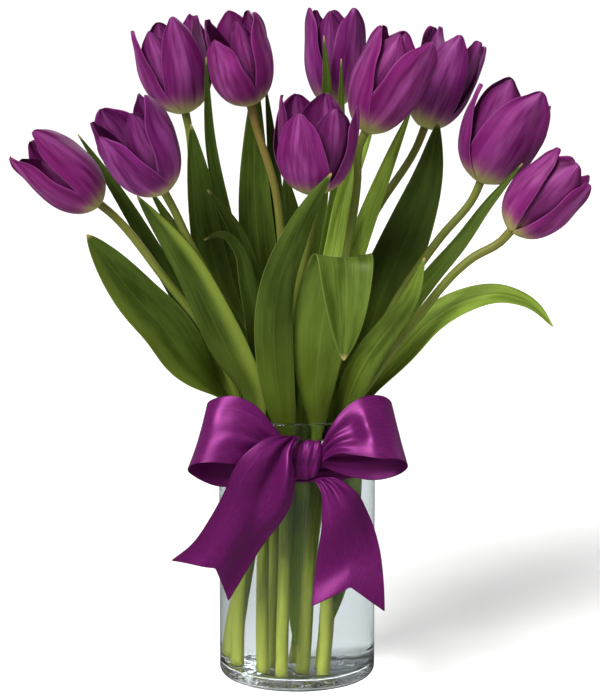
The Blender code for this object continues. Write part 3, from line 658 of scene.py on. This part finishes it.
def pistil_material():
    """Pale yellow-green, finely mottled."""
    mat, shader = principled("pistil", Roughness=0.5, Subsurface_Weight=0.1, Subsurface_Scale=0.001)
    grain = grain_of(place_of(shader), 400.0, 3.0)
    colour = mix(ramp(grain, 0.3, 0.7), (0.42, 0.46, 0.18), (0.62, 0.62, 0.30))
    feed(shader, Base_Color=colour)
    bumped(shader, grain, 0.3, 0.0004)
    return mat


def anther_material():
    """Dark purple, dusted with pollen."""
    mat, shader = principled("anther", Roughness=0.8)
    grain = grain_of(place_of(shader), 900.0, 3.0)
    colour = mix(ramp(grain, 0.35, 0.65), (0.030, 0.010, 0.030), (0.12, 0.06, 0.09))
    feed(shader, Base_Color=colour)
    bumped(shader, grain, 0.6, 0.0005)
    return mat


# ---- vase and water

def ripple(x, y, seed):
    """The uneven bottom of a pressed vase, as a height in millimetres."""
    broad = 1.1 * noise.noise(Vector((x * 0.16, y * 0.16, seed)))
    return broad + 0.55 * noise.noise(Vector((x * 0.42, y * 0.42, seed)))


def inside_floor(radius, sunk):
    """The vase's slightly domed inside floor and the round corner up to its wall."""
    points = []
    for k in range(22):
        drop = FLOOR_DOME * (k / 21.4) ** 2
        points.append((radius * k / 24, VASE_BASE + FLOOR_DOME - drop - sunk))
    return points + corner(radius - VASE_FILLET, VASE_BASE - sunk + VASE_FILLET, VASE_FILLET, -90, 0, 8)


def turned_in_glass(profile):
    """A lathed mesh whose floor has the uneven surfaces of a pressed base."""
    mesh = bmesh.new()
    add_lathe(mesh, profile, LATHE_STEPS)
    for vert in mesh.verts:
        x, y, z = vert.co / MM
        reach = hypot(x, y)
        if z < VASE_BASE + 2.0 and reach < FLOOR_EDGE:
            seed = 3.0 if z > VASE_BASE - 1.0 else 8.0
            vert.co.z += ripple(x, y, seed) * MM * (1.0 - smoothstep(reach, 36.0, FLOOR_EDGE))
    bmesh.ops.recalc_face_normals(mesh, faces=mesh.faces)
    return mesh


def build_vase():
    """A thick pressed base with a shallow hollow under it, straight walls and a fire-polished rim."""
    radius = VASE_RADIUS - VASE_WALL
    inside = inside_floor(radius, 0.0) + [(radius, VASE_BASE + 40.0), (radius, VASE_HEIGHT - 40.0)]
    rim = corner(VASE_RADIUS - VASE_WALL / 2, VASE_HEIGHT - VASE_WALL / 2, VASE_WALL / 2, 180, 0, 10)
    wall = [(VASE_RADIUS, VASE_HEIGHT - 40.0), (VASE_RADIUS, 40.0)]
    foot = corner(VASE_RADIUS - FOOT_FILLET, FOOT_FILLET, FOOT_FILLET, 0, -90, 8)
    hollow = [(42.5, 0.0), (41.0, 0.5)]
    for k in range(20):
        part = k / 20
        hollow.append((39.0 - 39.0 * k / 20, 1.0 + 1.6 * part ** 0.6))
    hollow.append((0.0, 2.6))
    mesh = turned_in_glass(inside + rim + wall + foot + hollow)
    vase = carried(object_of("vase_glass", mesh, glass_material()), "glass", "vase")
    vase.visible_shadow = False


def build_water():
    """The water meets the glass, and climbs it in a small meniscus."""
    radius = VASE_RADIUS - VASE_WALL + WATER_SEAM
    side = inside_floor(radius, WATER_SEAM) + [(radius, 60.0), (radius, WATER_LEVEL - 4.0)]
    top = [(radius, WATER_LEVEL + MENISCUS)]
    for k in range(1, 9):
        back = 5.0 * k / 8
        top.append((radius - back, WATER_LEVEL + MENISCUS * exp(-back / 1.4)))
    top += [(radius * 0.5, WATER_LEVEL), (0.0, WATER_LEVEL)]
    mesh = turned_in_glass(side + top)
    water = carried(object_of("vase_water", mesh, water_material()), "water", "water")
    water.visible_shadow = False


# ---- stems

def stem_line(tulip):
    """The stem's middle line, evenly spaced, and the bloom's axis."""
    base = Vector(tulip["base"])
    axis = (Vector(tulip["tip"]) - base).normalized()
    points = [Vector((*tulip["foot"], STEM_FOOT_Z)), Vector((*tulip["rim"], STEM_RIM_Z))]
    points += [Vector(p) for p in tulip["via"]] + [base - axis * 10.0, base]
    return spaced(through(points, 8), STEM_STEPS), axis


def stem_radius(z):
    part = min(max((z - VASE_BASE) / STEM_TAPER_HEIGHT, 0.0), 1.0)
    return STEM_FOOT_RADIUS + (STEM_TOP_RADIUS - STEM_FOOT_RADIUS) * part


def stem_at(points, z):
    """The place and direction of a stem at a height."""
    for a, b in zip(points, points[1:]):
        if a.z <= z <= b.z:
            return a.lerp(b, (z - a.z) / (b.z - a.z)), (b - a).normalized()
    raise ValueError("no point of the stem lies at this height")


def build_stem(number, tulip):
    """A stem that tapers from its cut foot, with a small swelling under the bloom."""
    line, axis = stem_line(tulip)
    line += [line[-1] + axis * 4.0, line[-1] + axis * 8.0]
    radii = []
    for i, p in enumerate(line):
        wobble = 0.12 * noise.noise(Vector((number * 3.0, 0.0, p.z * 0.03)))
        near_bloom = smoothstep(i / (len(line) - 1), 0.93, 1.0)
        radii.append(stem_radius(p.z) + wobble + 0.3 * near_bloom)
    mesh = bmesh.new()
    add_tube(mesh, line, radii, 20)
    mat = stem_material(number, tulip["brown"])
    name = f"tulip_{number:02d}"
    carried(object_of(f"{name}_stem_skin", mesh, mat), "stem", f"{name}_stem")


# ---- blooms

def tepal_rows(base, axis, right, front, spec, seed):
    """One tepal: a broad, pointed, cupped blade with a keel, on the bloom's swelling outline."""
    rows = []
    steps_along, steps_across = 24, 12
    turned = radians(spec["turn"])
    out = front * cos(turned) + right * sin(turned)
    tangent = right * cos(turned) - front * sin(turned)
    start_r, radius, height = spec["start"], spec["radius"], spec["height"]
    for j in range(steps_along + 1):
        v = 1.0 - (1.0 - j / steps_along) ** 1.4
        free = smoothstep(v, 0.2, 0.6)
        top = smoothstep(v, 0.55, 1.0)
        swell = sin(pi * spec["close"] * v ** 0.62)
        r = start_r + (radius - start_r) * swell + spec["tip_out"] * smoothstep(v, 0.72, 1.0)
        shape = (v ** 0.3) * ((1.0 - v) ** 0.58) / 0.568 * (1.0 - 0.20 * bump_at(v, 0.95, 0.06))
        half = sqrt((spec["width"] * shape) ** 2 + (3.4 * (1.0 - v) ** 3) ** 2) + 0.15
        curve = max(r * spec["cup"], half * 0.72)
        centre = base + axis * (height * v) + tangent * spec["sway"] * v ** 2
        row = []
        for k in range(steps_across + 1):
            u = 2.0 * k / steps_across - 1.0
            angle = u * half / curve
            ruffle = 0.9 * sin(11.0 * v + seed * 1.7 + u * 1.5) * abs(u) ** 3 * free
            keel = (0.4 + 1.3 * top) * (1.0 - abs(u)) ** 1.5 * smoothstep(v, 0.0, 0.2)
            lap = 0.9 * u * free
            depth = r - curve * (1.0 - cos(angle)) + ruffle + keel + lap
            depth += spec["lip"] * u ** 4 * free + 0.4 * top * sin(6.5 * u + seed)
            wander = 1.5 * noise.noise(Vector((seed, v * 3.0, u * 1.7))) * free
            row.append(centre + out * (depth + wander) + tangent * curve * sin(angle))
        rows.append(row)
    return rows


def bloom_frame(tulip):
    """A bloom's base, axis and height, and the ways that are its right and its front."""
    base = Vector(tulip["base"])
    axis = Vector(tulip["tip"]) - base
    height = axis.length
    axis.normalize()
    front = square_to(axis, Vector((0.0, -1.0, 0.0)))
    right = front.cross(axis) * -1.0
    return base, axis, height, right, front


def build_whorl(number, tulip, inner, mat):
    """Three tepals, each a little different; the inner three start higher and further in."""
    base, axis, height, right, front = bloom_frame(tulip)
    grids = []
    for k, (turn, reach, breadth, sway) in enumerate(tulip["inner" if inner else "outer"]):
        seed = number * 7.3 + k * 2.9 + inner * 1.3
        vary = noise.noise(Vector((seed, 1.0, 2.0)))
        spec = dict(turn=turn, start=4.2, radius=tulip["radius"] - 3.2 * inner, sway=sway,
                    cup=1.0 if inner else 1.03, height=(height - 0.6 - 1.6 * inner) * reach,
                    width=tulip["radius"] * 0.95 * breadth, close=tulip["close"] + 0.02 * vary,
                    tip_out=(0.4 if inner else 1.0) + vary, lip=0.5 + 0.6 * vary)
        foot = base + axis * (1.6 * inner)
        grids.append(tepal_rows(foot, axis, right, front, spec, seed))
    name = f"tulip_{number:02d}_{'inner' if inner else 'outer'}"
    obj = thin_piece(f"{name}_petals", grids, mat, PETAL_THICKNESS)
    carried(obj, "petal", f"{name}_tepals")


def build_heart(number, tulip, pistil_mat, anther_mat):
    """The pistil, with its three-lobed stigma, and six stamens round it."""
    base, axis, _, right, front = bloom_frame(tulip)
    mesh = bmesh.new()
    column = [base + axis * z for z in (8.0, 10.0, 18.0, 24.0, 27.0, 29.0)]
    add_tube(mesh, column, [2.2, 3.0, 3.4, 2.8, 2.3, 1.6], 14)
    for k in range(3):
        angle = tau * k / 3
        out = right * cos(angle) + front * sin(angle)
        lobe = [base + axis * 27.5, base + axis * 29.5 + out * 2.0, base + axis * 29.0 + out * 4.2]
        add_tube(mesh, lobe, [1.6, 1.8, 1.0], 10)
    pistil = carried(object_of(f"tulip_{number:02d}_pistil", mesh, pistil_mat), "stem")
    smoothed(pistil)
    mesh = bmesh.new()
    for k in range(6):
        angle = tau * (k + 0.5) / 6
        out = right * cos(angle) + front * sin(angle)
        places = ((8.5, 4.0), (14.0, 5.2), (15.0, 5.4), (20.0, 6.0), (26.0, 6.2), (27.5, 6.1))
        line = [base + axis * z + out * r for z, r in places]
        add_tube(mesh, line, [0.5, 0.45, 1.1, 1.35, 1.2, 0.4], 10)
    carried(object_of(f"tulip_{number:02d}_stamens", mesh, anther_mat), "stem")


# ---- leaves

def leaf_half_width(s, spec, foot):
    """Half the blade's width: a narrow foot, its widest place, then a point."""
    rise, fall = (0.95, 0.75) if spec.get("broad_tip") else (0.55, 0.78)
    widest = rise / (rise + fall)
    full = (widest ** rise) * ((1.0 - widest) ** fall)
    blade = spec["width"] / 2 * (s ** rise) * ((1.0 - s) ** fall) / full
    blade = max(blade, spec.get("low", 0.0) * (1.0 - s) ** 2)
    return max(foot * (1.0 - s), min(blade, foot + spec.get("spread", 60) * s), 0.35)


def facing_at(s, start, facing):
    """The way the blade's inner face turns: to its stem at first, then the one or two given ways."""
    stops = [start, Vector(facing[0]).normalized(), Vector(facing[-1]).normalized()]
    reach = 2.0 * smoothstep(s)
    k = min(int(reach), 1)
    return stops[k].lerp(stops[k + 1], smoothstep(reach - k))


def leaf_rows(spine, spec, side, foot, wrap, seed):
    """Rows across a blade that is curved round its stem at the foot and folded or flat above."""
    rows = []
    steps_across = 12
    for i, centre in enumerate(spine):
        s = i / (len(spine) - 1)
        along = tangent_at(spine, i)
        if "hinge" in spec:
            across = square_to(along, Vector(spec["hinge"]))
            inner = along.cross(across)
        else:
            inner = square_to(along, facing_at(s, -side, spec["facing"]))
            across = along.cross(inner)
        half = leaf_half_width(s, spec, foot)
        fold = wrap + (spec["fold"] - wrap) * smoothstep(s, 0.0, 0.35)
        bend = half / fold
        free = smoothstep(s, 0.2, 0.5)
        row = []
        for k in range(steps_across + 1):
            u = 2.0 * k / steps_across - 1.0
            turn = fold * u
            phase = 13.0 * s + seed + (2.0 if u > 0 else 0.0)
            ruffle = 0.06 * half * sin(phase) * abs(u) ** 2
            channel = -0.5 * bump_at(u, 0.0, 0.10) * smoothstep(s, 0.15, 0.4) * (1.0 - s)
            lift = bend * (1 - cos(turn)) + (ruffle + channel) * free
            row.append(centre + across * bend * sin(turn) + inner * lift)
        rows.append(row)
    return rows


def blade_of(name, rows, spec, seed):
    mat = leaf_material(name, spec["tone_and_light"], seed, spec.get("lit", 0.0))
    return thin_piece(f"{name}_blade", [rows], mat, LEAF_THICKNESS)


def build_leaf(name, spec, seed):
    """A blade that clasps its stem and then follows its own route."""
    points, _ = stem_line(TULIPS[spec["stem"] - 1])
    angle = radians(spec["side"])
    side = Vector((cos(angle), sin(angle), 0.0))
    line = []
    foot_z = spec.get("z", LEAF_FOOT_Z)
    for z in (foot_z, foot_z + LEAF_CLASP):
        centre, along = stem_at(points, z)
        line.append(centre + square_to(along, side) * (stem_radius(z) + 0.9))
    line += [Vector(p) for p in spec["route"]]
    foot = LEAF_WRAP * (STEM_FOOT_RADIUS + 1.0)
    rows = leaf_rows(spaced(through(line, 12), LEAF_STEPS), spec, side, foot, LEAF_WRAP, seed)
    carried(blade_of(name, rows, spec, seed), "leaf", name)


def build_low_leaf(name, spec, seed):
    """A blade that clasps no stem."""
    spine = spaced(through([Vector(p) for p in spec["route"]], 12), 40)
    rows = leaf_rows(spine, spec, Vector((0.0, 1.0, 0.0)), 2.5, 0.3, seed)
    carried(blade_of(name, rows, spec, seed), "leaf")


# ---- ribbon

def ribbon_rows(edges, notch, relief):
    """Rows between two smooth edges, raised by a relief of folds, and the length of their middle."""
    sides = [spaced(through([Vector(pair[k]) for pair in edges], 12), RIBBON_ROWS) for k in (0, 1)]
    rows = []
    for i in range(RIBBON_ROWS):
        s = i / (RIBBON_ROWS - 1)
        along = (tangent_at(sides[0], i) + tangent_at(sides[1], i)).normalized()
        across = (sides[1][i] - sides[0][i]).normalized()
        normal = across.cross(along).normalized()
        depth = notch * smoothstep(s, 0.6, 1.0)
        row = []
        for k in range(RIBBON_COLUMNS):
            u = k / (RIBBON_COLUMNS - 1)
            flat = sides[0][i].lerp(sides[1][i], u) - along * depth * (1.0 - abs(2.0 * u - 1.0))
            row.append(flat + normal * relief(u, s))
        rows.append(row)
    return rows, length_of([a.lerp(b, 0.5) for a, b in zip(*sides)])


def pleats(u, s, phase):
    """Gathers that fan out from the knot and fade along the ribbon."""
    depth = smoothstep(s, 0.0, 0.06) * (1.0 - smoothstep(s, 0.05, 0.40))
    return 1.5 * depth * sin(tau * PLEATS * u + phase) * sin(pi * u) ** 0.5


def relief_loop_left(u, s):
    ends = max(pleats(u, s, 0.4), pleats(u, 1.0 - s, 1.6), key=abs)
    belly = 2.6 * sin(pi * u) * sin(pi * min(s / 0.55, 1.0))
    dent = -4.2 * bump_at(u, 0.55, 0.16) * bump_at(s, 0.22, 0.10)
    swell = 1.6 * bump_at(u, 0.30, 0.20) * bump_at(s, 0.36, 0.08)
    return ends + belly + dent + swell


def relief_loop_right(u, s):
    ends = max(pleats(u, s, 2.2), pleats(u, 1.0 - s, 0.7), key=abs)
    belly = 2.2 * sin(pi * u) * sin(pi * min(s / 0.55, 1.0))
    dent = -3.0 * bump_at(u, 0.45, 0.22) * bump_at(s, 0.33, 0.05)
    swell = 1.8 * bump_at(u, 0.5, 0.3) * bump_at(s, 0.22, 0.07)
    return -(ends + belly + dent + swell)


def relief_tail_left(u, s):
    ridge = 6.4 * bump_at(u, 0.80, 0.12) * bump_at(s, 0.34, 0.20)
    valley = -4.2 * bump_at(u, 0.55, 0.10) * bump_at(s, 0.28, 0.18)
    shoulder = 3.2 * bump_at(u, 0.25, 0.2) * bump_at(s, 0.30, 0.18)
    crest = 5.0 * bump_at(u, 0.42, 0.22) * smoothstep(s, 0.42, 0.72)
    turned = -6.5 * smoothstep(u, 0.50, 1.0) * smoothstep(s, 0.48, 0.70)
    return -(ridge + valley + shoulder + crest + turned + pleats(u, s, 0.6))


def relief_tail_right(u, s):
    bow = 3.6 * sin(pi * u ** 0.8) * smoothstep(s, 0.05, 0.4)
    wave = 2.4 * sin(8.5 * s + 2.6 * u - 2.2) * smoothstep(s, 0.1, 0.4)
    turned = -4.0 * smoothstep(u, 0.72, 1.0) * bump_at(s, 0.40, 0.2)
    return -(bow + wave + turned + 1.2 * pleats(u, s, 2.0))


def build_ribbon_piece(name, edges, notch, relief):
    """A loop or a tail of the bow, its end cut in a V notch where a notch depth is given."""
    rows, length = ribbon_rows(edges, notch, relief)
    mat = satin_material(name, FLOATS_PER_MM * length)
    obj = thin_piece(f"{name}_satin", [rows], mat, RIBBON_THICKNESS)
    carried(obj, "satin_ribbon", name)


def squared(wave):
    """Turns a circle's sine or cosine into that of a rounded square."""
    return copysign(abs(wave) ** 0.75, wave)


def build_knot():
    """A short length of ribbon wrapped over the crossing, with slanting folds and tucked sides."""
    low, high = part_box("ribbon_knot")
    centre = (Vector(low) + Vector(high)) / 2 / MM
    half = (Vector(high) - Vector(low)) / 2 / MM
    rows = []
    for j in range(33):
        t = 2.0 * j / 32.0 - 1.0
        tuck = 0.50 + 0.50 * (1.0 - t ** 4) ** 0.5
        row = []
        for k in range(64):
            angle = tau * k / 64
            fold = 0.9 * sin(9.5 * t + 1.5 * sin(angle) + 0.6)
            fold += 0.35 * sin(17.0 * t - 2.2 * sin(angle))
            y = squared(cos(angle)) * (half.y * tuck + fold * 0.55)
            z = squared(sin(angle)) * (half.z * tuck + fold * 0.4)
            row.append(centre + Vector((t * (half.x + 0.8) + 0.22 * z, -y, z)))
        rows.append(row)
    mesh = bmesh.new()
    rings = add_grid(mesh, rows, closed=True)
    for ring in (rings[0], rings[-1]):
        face = mesh.faces.new(ring)
        face.smooth = True
    bmesh.ops.recalc_face_normals(mesh, faces=mesh.faces)
    obj = object_of("ribbon_knot_satin", mesh, satin_material("ribbon_knot", 12.0))
    return carried(obj, "satin_ribbon", "ribbon_knot")


def build_band(knot):
    """The ribbon gathered round the vase in uneven pleats."""
    low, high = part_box("ribbon_band")
    bottom, top = low[2] / MM, high[2] / MM
    rows = []
    for j in range(73):
        t = j / 72.0
        row = []
        for k in range(192):
            angle = tau * k / 192
            sway = 0.5 * sin(2.0 * angle + 0.6) + 0.35 * sin(5.0 * angle)
            drift = 1.2 * sin(3.0 * angle + 5.0 * t)
            crest = 0.5 + 0.5 * sin(tau * 6.0 * t + sway + drift)
            r = VASE_RADIUS + 0.45 + 2.2 * crest * (0.82 + 0.18 * sin(4.0 * angle + 2.0))
            shift = 2.0 if t > 0.5 else 0.0
            edge = 0.6 * sin(3.0 * angle + shift) * abs(2.0 * t - 1.0) ** 2
            z = bottom + 0.8 + (top - bottom - 1.6) * t + edge
            row.append(Vector((r * cos(angle), r * sin(angle), z)))
        rows.append(row)
    mesh = bmesh.new()
    add_grid(mesh, rows, closed=True)
    obj = object_of("ribbon_band_satin", mesh, satin_material("ribbon_band", 60.0))
    thicken(obj, 0.3)
    carried(obj, "satin_ribbon", "ribbon_band")


def build_bow():
    build_band(build_knot())
    build_ribbon_piece("ribbon_loop_left", LOOP_LEFT, 0.0, relief_loop_left)
    build_ribbon_piece("ribbon_loop_right", LOOP_RIGHT, 0.0, relief_loop_right)
    build_ribbon_piece("ribbon_tail_left", TAIL_LEFT, TAIL_NOTCH, relief_tail_left)
    build_ribbon_piece("ribbon_tail_right", TAIL_RIGHT, TAIL_NOTCH, relief_tail_right)


# ---- stage, light, camera

def build_stage():
    mesh = bmesh.new()
    bmesh.ops.create_circle(mesh, cap_ends=True, radius=12.0, segments=64)
    mat, _ = principled("floor", Base_Color=(0.90, 0.90, 0.90, 1.0), Roughness=0.9)
    floor = object_of("floor", mesh, mat)
    floor.location.z = -0.0005
    floor.visible_glossy = False


def aim_lamp(lamp, place, target):
    lamp.location = place
    lamp.rotation_euler = (Vector(target) - Vector(place)).to_track_quat("-Z", "Y").to_euler()
    bpy.context.scene.collection.objects.link(lamp)


def build_light():
    """A pale studio: a soft key from the upper left, a rim light behind and a dim, even surround."""
    world = bpy.data.worlds.new("studio")
    bpy.context.scene.world = world
    world.use_nodes = True
    tree = world.node_tree
    way = node(tree, "ShaderNodeTexCoord").outputs["Generated"]
    parts = node(tree, "ShaderNodeSeparateXYZ", {0: way})
    sideways = math_node("ABSOLUTE", parts.outputs[0])
    beside = ramp(sideways, 0.55, 0.95, 1.0, 0.5)
    above = ramp(parts.outputs[2], -0.15, 0.25, 0.08, 0.46)
    strength = math_node("MULTIPLY", beside, above)
    background = tree.nodes["Background"]
    background.inputs["Color"].default_value = (1.0, 1.0, 1.0, 1.0)
    tree.links.new(strength, background.inputs["Strength"])
    centre = (0.0, 0.0, 0.25)
    sun = bpy.data.lights.new("key", "SUN")
    sun.energy = 4.0
    sun.angle = radians(26.0)
    sun.color = (1.0, 0.99, 0.975)
    aim_lamp(bpy.data.objects.new("key", sun), (-1.2, -1.7, 1.9), centre)
    rim = bpy.data.lights.new("rim", "AREA")
    rim.size = 0.9
    rim.energy = 16.0
    aim_lamp(bpy.data.objects.new("rim", rim), (0.9, 1.5, 1.4), centre)


def build_camera():
    data = bpy.data.cameras.new("camera")
    data.lens = 161.5
    data.clip_end = 40.0
    camera = bpy.data.objects.new("camera", data)
    elevation = radians(11.0)
    distance = 2.0
    aim = Vector((0.0019, 0.0, 0.2126))
    camera.location = aim + Vector((0.0, -cos(elevation), sin(elevation))) * distance
    camera.rotation_euler = (pi / 2 - elevation, 0.0, 0.0)
    bpy.context.scene.collection.objects.link(camera)
    bpy.context.scene.camera = camera


# ---- everything

bpy.context.scene.view_settings.view_transform = "Standard"
build_camera()
build_light()
build_stage()
build_vase()
build_water()
pistil_mat, anther_mat = pistil_material(), anther_material()
for number, tulip in enumerate(TULIPS, start=1):
    build_stem(number, tulip)
    for inner in (0, 1):
        build_whorl(number, tulip, inner, petal_material(number, inner, tulip.get("depth", INNER_PAINTED_SHADE)))
    build_heart(number, tulip, pistil_mat, anther_mat)
for index, (name, spec) in enumerate(LEAVES.items()):
    build_leaf(name, spec, index * 1.9)
for index, (name, spec) in enumerate(LOW_LEAVES.items()):
    build_low_leaf(name, spec, 50.0 + index)
build_bow()
